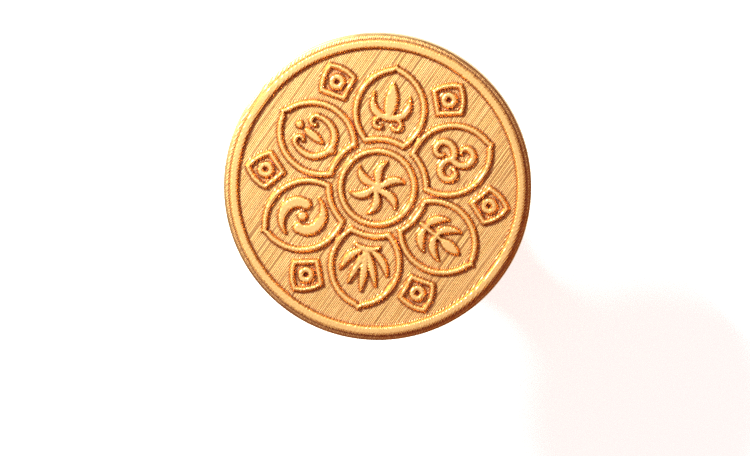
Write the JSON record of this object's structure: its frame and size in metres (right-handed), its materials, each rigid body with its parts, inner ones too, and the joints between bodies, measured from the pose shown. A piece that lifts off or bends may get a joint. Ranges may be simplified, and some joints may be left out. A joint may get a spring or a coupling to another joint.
{
  "type": "hand seal stamp",
  "caption": "Round brass hand seal with a raised flower ornament on its face, screwed on a short turned wooden grip.",
  "frame": {"origin": "centre of the flat end that the grip stands on", "axes": "+Z along the turned axis, the way the engraved face looks; +Y through the tip of one petal"},
  "size_m": [0.05, 0.05, 0.054],
  "materials": {
    "engraved_brass": "milled, satin",
    "turned_brass": "polished",
    "stud_steel": "zinc plated",
    "fibre": "matt",
    "rosewood": "satin lacquer"
  },
  "bodies": {
    "handle": {"wooden_grip": "rosewood", "ferrule": "turned_brass", "threaded_insert": "turned_brass", "handle_stud": "stud_steel"},
    "washer": {"thrust_washer": "fibre"},
    "head": {"seal_disc": "engraved_brass"}
  },
  "joints": [
    {"name": "head_turn", "type": "hinge", "parent": "handle", "child": "washer", "pos_m": [0, 0, 0.041], "axis": [0, 0, 1], "range_deg": [0, 2160]},
    {"name": "head_lift", "type": "slide", "parent": "washer", "child": "head", "axis": [0, 0, 1], "range_m": [0, 0.0075]}
  ],
  "couplings": [
    {"joint": "head_lift", "follows": "head_turn", "m_per_rad": 0.00019894}
  ]
}
